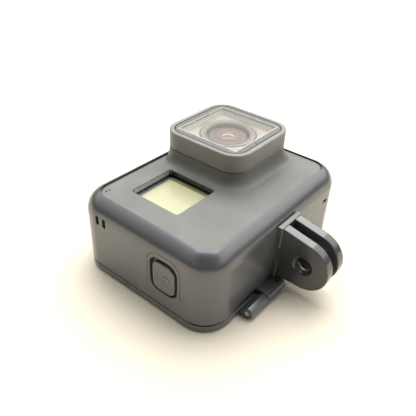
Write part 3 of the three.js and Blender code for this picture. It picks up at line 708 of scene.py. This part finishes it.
def latch_ear(start, end):
    """One ear of the latch pivot: upright beside the wall, joined to the bezel below."""
    y, half, low, high = 26.3, 0.9, 0.1, 4.8
    side = [(FRAME_H / 2 - 1.5, low), (y, low), (y + half, 0.9), (y + half, high - half)]
    for step in range(9):
        angle = step / 8 * math.pi
        side.append((y + half * math.cos(angle), high - half + half * math.sin(angle)))
    side += [(y - half, 2.2), (FRAME_H / 2 - 1.5, 2.2)]
    ear = prism("x", side, start, end)
    return cut(ear, rounded_bar("x", 0.58, -30, 0, (26.3, 1.5), 0.01))


def latch_lever():
    y, half, z, reach = 26.3, 0.9, 1.5, 11.2
    start, end = -23.6, -7.6

    def shape(inset):
        width, height = end - start - 2 * inset, reach - z + half - 2 * inset
        return outline(width, height, 1.4 - inset, (start + end) / 2, (reach + z - half) / 2)
    plate = loft("y", rounding(y - half, y + half, 0.25, 0.3, shape, 4))
    grip = rounded_bar("x", 0.8, start + 3, end - 3, (y + half, reach - 1.6), 0.3)
    join(plate, grip)
    ribs = [
        rounded_bar("x", 0.18, start + 4, end - 4, (y + half, reach - 4.2 - 1.1 * k), 0.05)
        for k in range(3)
    ]
    cut(plate, *ribs)
    return cut(plate, rounded_bar("x", 0.58, start - 1, end + 1, (y, z), 0.01))


def finger_outline(inset):
    radius = FINGER_R - inset
    root = -FRAME_H / 2 - 0.75
    tangent = FINGER_RISE + math.pi / 2
    points = []
    for step in range(61):
        angle = tangent + step / 60 * (1.5 * math.pi - tangent)
        points.append((FINGER_Y + radius * math.cos(angle), FINGER_Z + radius * math.sin(angle)))
    top = points[0]
    points.append((root, FINGER_Z - radius))
    points.append((root, top[1] + (root - top[0]) * math.tan(FINGER_RISE)))
    return points


def mount_fingers():
    depth, top, bottom, half_top, half_bottom = 1.5, 21.6, 4.2, 5.0, 6.0

    def plinth_outline(inset):
        return [
            (FINGER_X - half_bottom + inset, bottom + inset),
            (FINGER_X + half_bottom - inset, bottom + inset),
            (FINGER_X + half_top - inset, top - inset),
            (FINGER_X - half_top + inset, top - inset),
        ]
    front = -FRAME_H / 2 - depth
    levels = [(front + 0.35 * (1 - math.cos(a)), plinth_outline(0.35 * (1 - math.sin(a)))) for a in
              (0, math.pi / 8, math.pi / 4, 3 * math.pi / 8, math.pi / 2)]
    levels.append((-FRAME_H / 2, plinth_outline(0)))
    plinth = loft("y", levels)
    cut(plinth, prism("x", circle(8.0, FINGER_Y, FINGER_Z, 120), FINGER_X - 12, FINGER_X + 12))
    pitch = FINGER_T + FINGER_GAP
    fingers = []
    for side in (-1, 1):
        middle = FINGER_X + side * pitch / 2
        start, end = middle - FINGER_T / 2, middle + FINGER_T / 2
        finger = loft("x", rounding(start, end, 0.35, 0.35, finger_outline, 5))
        bore = [
            (start - 0.5, circle(FINGER_HOLE + 0.5, FINGER_Y, FINGER_Z, 72)),
            (start, circle(FINGER_HOLE + 0.5, FINGER_Y, FINGER_Z, 72)),
            (start + 0.22, circle(FINGER_HOLE + 0.16, FINGER_Y, FINGER_Z, 72)),
            (start + 0.6, circle(FINGER_HOLE, FINGER_Y, FINGER_Z, 72)),
            (end - 0.6, circle(FINGER_HOLE, FINGER_Y, FINGER_Z, 72)),
            (end - 0.22, circle(FINGER_HOLE + 0.16, FINGER_Y, FINGER_Z, 72)),
            (end, circle(FINGER_HOLE + 0.5, FINGER_Y, FINGER_Z, 72)),
            (end + 0.5, circle(FINGER_HOLE + 0.5, FINGER_Y, FINGER_Z, 72)),
        ]
        fingers.append(cut(finger, loft("x", bore)))
    return join(plinth, *fingers)


def press_pad(axis, direction, inner, outer, centre, width):
    """A press pad: soft-edged island with a shallow ring and bar, on its retaining flange."""
    def island(inset):
        return outline(width - 2 * inset, PAD_H - 2 * inset, PAD_R - inset, centre, PAD_Z)
    low, high = min(inner, outer), max(inner, outer)
    low_edge, high_edge = (0.4, 0) if direction < 0 else (0, 0.4)
    pad = loft(axis, rounding(low, high, low_edge, high_edge, island, 5))
    flange_end = inner + direction * 0.45
    flange = prism(axis, pad_opening(centre, width, 0.5), min(inner, flange_end), max(inner, flange_end))
    join(pad, flange)
    ring = []
    for step in range(41):
        angle = step / 40 * 2 * math.pi * 0.86 + 0.5
        ring.append(place(axis, centre - 1.1 + 1.3 * math.cos(angle), PAD_Z + 1.3 * math.sin(angle), outer))
    bar = [place(axis, centre + 2.0, PAD_Z + 1.3 - 0.65 * k, outer) for k in range(5)]
    return cut(pad, tube_along(ring, 0.12, sides=8), tube_along(bar, 0.12, sides=8))


finish_piece(
    frame_shell(),
    "moulded_frame_shell", "camera_in_frame", LOOKS["frame"], ["frame_shell"],
)
finish_piece(
    bezel_plate(),
    "moulded_rear_bezel", "rear_bezel_body", LOOKS["frame"], ["rear_bezel"],
)
finish_piece(
    latch_lever(),
    "moulded_latch_lever", "latch", LOOKS["frame"], ["latch_lever"],
)
finish_piece(
    mount_fingers(),
    "moulded_mount_fingers", "camera_in_frame", LOOKS["fingers"], ["mount_fingers"],
)
finish_piece(
    press_pad("x", -1, -BODY_W / 2 - 0.45, -FRAME_W / 2, MODE_Y, MODE_W),
    "moulded_mode_pad", "mode_pad_body", LOOKS["frame"], ["mode_pad"],
)
finish_piece(
    press_pad("y", 1, BODY_H / 2 + 0.45, FRAME_H / 2, SHUTTER_X, SHUTTER_W),
    "moulded_shutter_pad", "shutter_pad_body", LOOKS["frame"], ["shutter_pad"],
)
hinge_pin = rounded_bar("x", 0.7, -20.0, -4.7, (HINGE_Y, HINGE_Z), 0.18)
finish_piece(hinge_pin, "turned_hinge_pin", "camera_in_frame", LOOKS["steel"], ["hinge_pin"])
latch_pin = rounded_bar("x", 0.5, -26.1, -5.1, (26.3, 1.5), 0.12)
finish_piece(latch_pin, "turned_latch_pin", "rear_bezel_body", LOOKS["steel"], ["latch_pin"])


# ---- Camera housing and lens block --------------------------------------------------------------

def lens_tower(start, end):
    """The lens tower's lower part, with a concave foot that spreads to the left and downwards."""
    left, right, bottom, top = 3.4, 0.9, 3.4, 0.05
    levels = []
    steps = 18
    for step in range(steps + 1):
        z = start if step == 0 else PLATE_Z + (end - PLATE_Z) * (step - 1) / (steps - 1)
        rise = max(0.0, (z - PLATE_Z) / (end - PLATE_Z))
        spread = 1 - math.sqrt(1 - (1 - rise) ** 2)
        levels.append((z, outline(
            LENS_SIDE + (left + right) * spread,
            LENS_SIDE + (top + bottom) * spread,
            LENS_R + 0.4 * left * spread,
            LENS_X + (right - left) * spread / 2,
            LENS_Y + (top - bottom) * spread / 2,
        )))
    z, points = levels[-1]
    levels[-1] = (z - 0.3, points)
    levels.append((z, outline(LENS_SIDE - 0.7, LENS_SIDE - 0.7, LENS_R - 0.35, LENS_X, LENS_Y)))
    return loft("z", levels)


def status_opening(margin):
    return outline(STATUS_W + 2 * margin, STATUS_H + 2 * margin, 0.8 + margin, STATUS_X, STATUS_Y, 8)


def front_housing():
    shell = body_block(7.4, PLATE_Z, 0, BODY_EDGE, steps=10)
    join(shell, lens_tower(PLATE_Z - 1.5, SEAM_Z))
    hollow = prism("z", outline(BODY_W - 3, BODY_H - 3, BODY_R - 1.5), 6, PLATE_Z - 1.5)
    bore = prism("z", circle(9.7, LENS_X, LENS_Y, 96), PLATE_Z - 3, SEAM_Z + 1)
    glass_hole = flared("z", status_opening, PLATE_Z - 3, PLATE_Z, 0.25)
    cutters = [hollow, bore, glass_hole]
    for offset in (-0.55, 0.55):
        cutters.append(prism("z", circle(0.32, -26.4 + offset, 18.6, 20), PLATE_Z - 3, PLATE_Z + 1))
    cutters.append(prism("x", outline(7.6, 6.2, 1.8, MODE_Y, PAD_Z, 6), -BODY_W / 2 - 1, -BODY_W / 2 + 2))
    cutters.append(prism("y", outline(9.6, 7.0, 1.8, SHUTTER_X, PAD_Z, 6), BODY_H / 2 - 2, BODY_H / 2 + 1))
    cutters.append(prism("x", outline(20.8, 11.0, 0.9, 1.8, 14.0, 6), BODY_W / 2 - 2, BODY_W / 2 + 1))
    cutters.append(prism("y", outline(28.0, 11.4, 1.5, -10.7, 13.5, 6), -BODY_H / 2 - 1, -BODY_H / 2 + 2))
    return cut(shell, *cutters)


def rear_housing():
    shell = body_block(BACK_Z, 6.7, BODY_EDGE, 0)
    hollow = prism("z", outline(BODY_W - 3, BODY_H - 3, BODY_R - 1.5), BACK_Z + 1.5, 8)
    view = flared("z", lambda m: outline(49.2 + 2 * m, 34.0 + 2 * m, 1.7 + m), 4, BACK_Z, 0.2, -1)
    return cut(shell, hollow, view)


def square_at_lens(inset, corner=None):
    return outline(
        LENS_SIDE - 2 * inset,
        LENS_SIDE - 2 * inset,
        (LENS_R - inset) if corner is None else corner,
        LENS_X,
        LENS_Y,
        12,
    )


def cover_ring():
    bottom = ring_low[2]
    ring = loft("z", rounding(bottom, TOP_Z, 0.22, 0.42, square_at_lens, 6))
    inside = (LENS_SIDE - 22.6) / 2
    throat = prism("z", square_at_lens(inside, 1.3), bottom - 1, TOP_Z + 1)
    seat = flared("z", lambda m: square_at_lens(1.5 - m), 33.0, TOP_Z, 0.1)
    return cut(ring, throat, seat)


PANE_T = 0.5


def cover_glass():
    high = pane_high[2]
    return loft("z", rounding(high - PANE_T, high, 0.08, 0.1, lambda inset: square_at_lens(1.82 + inset), 3))


def printed_frame(outer, outer_corner, inner, inner_corner, bottom, top):
    """A thin square frame printed on the cover glass, given by its half sides."""
    plate = prism("z", square_at_lens(LENS_SIDE / 2 - outer, outer_corner), bottom, top)
    return cut(plate, prism("z", square_at_lens(LENS_SIDE / 2 - inner, inner_corner), bottom - 1, top + 1))


def lens_hood():
    """The square hood round the lens: a sloped funnel under the glass, stepping down round its opening."""
    inside = (LENS_SIDE - 22.0) / 2
    low, high = hood_low[2], hood_high[2]
    plate = loft("z", rounding(low, high, 0, 0.1, lambda inset: square_at_lens(inside + inset, 1.0), 3))
    flange_top = pane_high[2] - PANE_T - 0.03
    flange = prism("z", square_at_lens(LENS_SIDE / 2 - 12.8, 4.3), pane_low[2] + 0.02, flange_top)
    join(plate, prism("z", square_at_lens(inside + 0.1, 0.9), high - 0.3, flange_top - 0.1), flange)
    slope = loft("z", [
        (high - 0.05, square_at_lens(LENS_SIDE / 2 - 9.5, 0.5)),
        (flange_top, square_at_lens(LENS_SIDE / 2 - 10.8, 0.5)),
        (flange_top + 1, square_at_lens(LENS_SIDE / 2 - 10.8, 0.5)),
    ])
    cut(plate, slope)
    step = prism("z", circle(9.75, LENS_X, LENS_Y, 120), high - 0.19, high + 0.5)
    return cut(plate, step, prism("z", circle(9.05, LENS_X, LENS_Y, 120), low - 1, high + 1))


finish_piece(
    front_housing(),
    "moulded_front_housing", "camera_in_frame", LOOKS["soft_touch"], ["front_housing"],
)
finish_piece(
    rear_housing(),
    "moulded_rear_housing", "camera_in_frame", LOOKS["dark"], ["rear_housing"],
)
finish_piece(
    cover_ring(),
    "moulded_cover_ring", "lens_cover", LOOKS["lens_block"], ["lens_cover_ring"],
)
finish_piece(
    cover_glass(),
    "polished_cover_glass", "lens_cover", LOOKS["glass"], ["lens_cover_glass"],
)
finish_piece(lens_hood(), "lens_hood_plate", "lens_cover", LOOKS["hood"], ["lens_mask"])

band = printed_frame(12.9, 4.4, 11.15, 0.6, pane_high[2], pane_high[2] + 0.02)
finish_piece(band, "printed_glass_border", "lens_cover", LOOKS["print_band"])
line = printed_frame(11.15, 0.6, 10.8, 0.45, pane_high[2], pane_high[2] + 0.04)
finish_piece(line, "printed_glass_line", "lens_cover", LOOKS["print_line"])

holder_low, holder_high = keeper_low[2], keeper_high[2]
retaining = turned(
    [(6.9, holder_low), (8.7, holder_low), (8.7, holder_high - 0.28), (8.55, holder_high - 0.12),
     (7.95, holder_high - 0.08), (7.75, holder_high - 0.3), (7.5, holder_high - 0.3),
     (7.3, holder_high - 0.03), (7.1, holder_high), (6.9, holder_high - 0.2)],
    LENS_X, LENS_Y,
)
finish_piece(
    retaining,
    "turned_retaining_ring", "camera_in_frame", LOOKS["ring_grey"], ["lens_retaining_ring"],
)
glass_low, glass_high = element_low[2], element_high[2]
ELEMENT_R, CROWN = 6.7, 1.6
element_profile = [(0, glass_low), (ELEMENT_R, glass_low), (ELEMENT_R, glass_high - CROWN)]
for k in range(1, 16):
    lean = k / 16 * math.pi / 2
    element_profile.append((ELEMENT_R * math.cos(lean), glass_high - CROWN + CROWN * math.sin(lean)))
element_profile.append((0, glass_high))
finish_piece(
    turned(element_profile, LENS_X, LENS_Y), "polished_front_element", "camera_in_frame",
    LOOKS["lens"], ["lens_front_element"], angle=40,
)


# ---- Status display -----------------------------------------------------------------------------

def display_plate(left, right, low, high, bottom, top):
    width, height = right - left, high - low
    x, y = (left + right) / 2, (low + high) / 2

    def shape(inset):
        return outline(width - 2 * inset, height - 2 * inset, 0.3 - inset, x, y, 4)

    return loft("z", rounding(bottom, top, 0, 0.05, shape, 2))


status_low, status_high = node_box("status_display")
status_left, status_right = status_low[0], status_high[0]
status_near, status_far = status_low[1] - SHIFT_Y, status_high[1] - SHIFT_Y
border = display_plate(status_left, status_right, status_near, status_far, 21.0, 21.85)
finish_piece(
    border,
    "display_border_plate", "camera_in_frame", LOOKS["display_border"], ["status_display"],
)
active = display_plate(status_left + 0.1, -7.1, status_near + 0.1, 12.6, 21.87, 22.0)
finish_piece(active, "display_active_film", "camera_in_frame", LOOKS["display"])
# An olive strip of painted shadow along the display's right edge, next to the recess wall.
shade = display_plate(-7.05, -5.65, status_near + 0.1, 12.6, 21.87, 22.0)
finish_piece(shade, "display_shaded_edge", "camera_in_frame", LOOKS["display_shade"])
recess_top = PLATE_Z - 0.3
far_wall = STATUS_Y + STATUS_H / 2
right_wall = STATUS_X + STATUS_W / 2
# A pale grey strip of painted light on the recess's far wall.
strip = prism("y", [(STATUS_X - 7.3, 22.85), (STATUS_X + 7.3, 22.85), (STATUS_X + 7.3, recess_top),
                    (STATUS_X - 7.3, recess_top)], far_wall - 0.04, far_wall - 0.01)
finish_piece(strip, "recess_painted_light_strip", "camera_in_frame", LOOKS["painted_wall_light"])
# A black sheet of painted shadow on the recess's right wall.
shadow_sheet = prism("x", [(STATUS_Y - 8, 22.85), (STATUS_Y + 8, 22.85), (STATUS_Y + 8, recess_top),
                     (STATUS_Y - 8, recess_top)], right_wall - 0.04, right_wall - 0.01)
finish_piece(shadow_sheet, "recess_painted_shadow_sheet", "camera_in_frame", LOOKS["painted_wall_shadow"])
for number, height in enumerate((23.25, 23.8)):
    centre = (right_wall - 0.06, height)
    trim = rounded_bar("y", 0.07, STATUS_Y - 7.8, STATUS_Y + 7.8, centre, 0.03, facets=12)
    finish_piece(trim, f"recess_line_{number + 1}", "camera_in_frame", LOOKS["recess_line"])
pane = display_plate(status_left, status_right, status_near, status_far, 22.2, 22.8)
finish_piece(
    pane,
    "status_window_pane", "camera_in_frame", LOOKS["window"], ["status_window"],
)


# ---- Nodes carried over with their own materials --------------------------------------------------

CARRIED = {
    "dark": ["lens_holder", "mode_button", "shutter_button", "battery_bay", "battery_door", "side_door",
             "display_panel"],
    "touch": ["touch_glass"],
    "deep_lens": ["lens_middle_group", "lens_rear_group", "infrared_filter"],
    "steel": ["side_door_pin", "mode_switch", "shutter_switch", "usb_socket", "video_socket"]
             + [f"chassis_screw_{k}" for k in range(1, 5)],
    "alloy": ["lens_barrel", "heat_spreader", "inner_chassis", "front_microphone"],
    "rubber": ["housing_seal", "lens_cover_gasket", "battery_door_seal", "side_door_seal"],
    "board": ["sensor_board", "main_board"],
    "cell": ["battery"],
    "chip": ["image_sensor", "processor", "speaker"],
}
for look, nodes in CARRIED.items():
    for node in nodes:
        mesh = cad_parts[node].data
        for index in range(len(mesh.materials)):
            mesh.materials[index] = LOOKS[look]


# ---- Stage, light and camera ----------------------------------------------------------------------

def stage_floor():
    bm = bmesh.new()
    size = 3.0
    corners = [bm.verts.new((x * size, y * size, 0)) for x, y in ((-1, -1), (1, -1), (1, 1), (-1, 1))]
    bm.faces.new(corners)
    mesh = bpy.data.meshes.new("floor")
    bm.to_mesh(mesh)
    bm.free()
    floor = bpy.data.objects.new("floor", mesh)
    bpy.context.scene.collection.objects.link(floor)
    n = Nodes("floor_paper")
    n.link(n.blend(n.noise(8.0), (0.86, 0.785, 0.64), (0.89, 0.815, 0.67)), "Base Color")
    n.shader.inputs["Roughness"].default_value = 0.6
    n.shader.inputs["Specular IOR Level"].default_value = 0.2
    mesh.materials.append(n.material)


def studio_world():
    """A bright ceiling, stronger behind the camera part, over a dim band near the horizon."""
    world = bpy.data.worlds.new("studio")
    bpy.context.scene.world = world
    world.use_nodes = True
    tree = world.node_tree
    where = tree.nodes.new("ShaderNodeTexCoord").outputs["Generated"]
    split = tree.nodes.new("ShaderNodeSeparateXYZ")
    tree.links.new(where, split.inputs[0])
    ramp = tree.nodes.new("ShaderNodeValToRGB")
    tree.links.new(split.outputs["Z"], ramp.inputs[0])
    stops = ramp.color_ramp.elements
    stops[0].position, stops[0].color = 0.0, (0.05, 0.048, 0.045, 1)
    stops[1].position, stops[1].color = 1.0, (1.0, 1.0, 1.0, 1)
    for position, level in ((0.22, 0.08), (0.4, 0.85), (0.55, 1.0)):
        stop = stops.new(position)
        stop.color = (level, level, level * 0.98, 1)
    toward = tree.nodes.new("ShaderNodeVectorMath")
    toward.operation = "DOT_PRODUCT"
    toward.inputs[1].default_value = (0.97, 0.22, 0.0)
    tree.links.new(where, toward.inputs[0])
    share = tree.nodes.new("ShaderNodeMapRange")
    share.inputs["From Min"].default_value = -0.6
    share.inputs["To Min"].default_value = 0.25
    share.inputs["To Max"].default_value = 1.75
    tree.links.new(toward.outputs["Value"], share.inputs["Value"])
    viewer = tree.nodes.new("ShaderNodeVectorMath")
    viewer.operation = "DOT_PRODUCT"
    viewer.inputs[1].default_value = (-0.45, -0.45, 0.77)
    tree.links.new(where, viewer.inputs[0])
    shade = tree.nodes.new("ShaderNodeMapRange")
    shade.interpolation_type = "SMOOTHSTEP"
    shade.inputs["From Min"].default_value = 0.70
    shade.inputs["From Max"].default_value = 0.93
    shade.inputs["To Min"].default_value = 1.65
    shade.inputs["To Max"].default_value = 0.08
    tree.links.new(viewer.outputs["Value"], shade.inputs["Value"])
    strength = tree.nodes.new("ShaderNodeMath")
    strength.operation = "MULTIPLY"
    tree.links.new(shade.outputs["Result"], strength.inputs[1])
    tree.links.new(share.outputs["Result"], strength.inputs[0])
    tree.links.new(ramp.outputs["Color"], tree.nodes["Background"].inputs["Color"])
    tree.links.new(strength.outputs[0], tree.nodes["Background"].inputs["Strength"])


def soft_light(name, place_at, aim, size, power, colour=(1, 1, 1)):
    light = bpy.data.lights.new(name, "AREA")
    light.shape = "RECTANGLE"
    light.size, light.size_y = size
    light.energy = power
    light.color = colour
    obj = bpy.data.objects.new(name, light)
    obj.location = place_at
    direction = Vector(aim) - Vector(place_at)
    obj.rotation_euler = direction.to_track_quat("-Z", "Y").to_euler()
    bpy.context.scene.collection.objects.link(obj)


def add_camera():
    azimuth, elevation, roll = math.radians(-52.09), math.radians(35.17), math.radians(2.61)
    distance = 0.15123
    target = Vector((-2.03 * MM, (1.31 + SHIFT_Y) * MM, 14 * MM))
    back = Vector((
        math.sin(azimuth) * math.cos(elevation),
        -math.cos(azimuth) * math.cos(elevation),
        math.sin(elevation),
    ))
    data = bpy.data.cameras.new("camera")
    data.sensor_width = 36.0
    data.lens = 42.13
    data.clip_start = 0.005
    camera = bpy.data.objects.new("camera", data)
    camera.location = target + distance * back
    camera.rotation_euler = (
        (-back).to_track_quat("-Z", "Y").to_matrix() @ Matrix.Rotation(roll, 3, "Z")
    ).to_euler()
    bpy.context.scene.collection.objects.link(camera)
    bpy.context.scene.camera = camera


stage_floor()
studio_world()
soft_light("ceiling_panel", (0.35, 0.25, 0.95), (0, 0, 0), (1.1, 1.1), 11.0)
add_camera()
bpy.context.scene.view_settings.view_transform = "Standard"
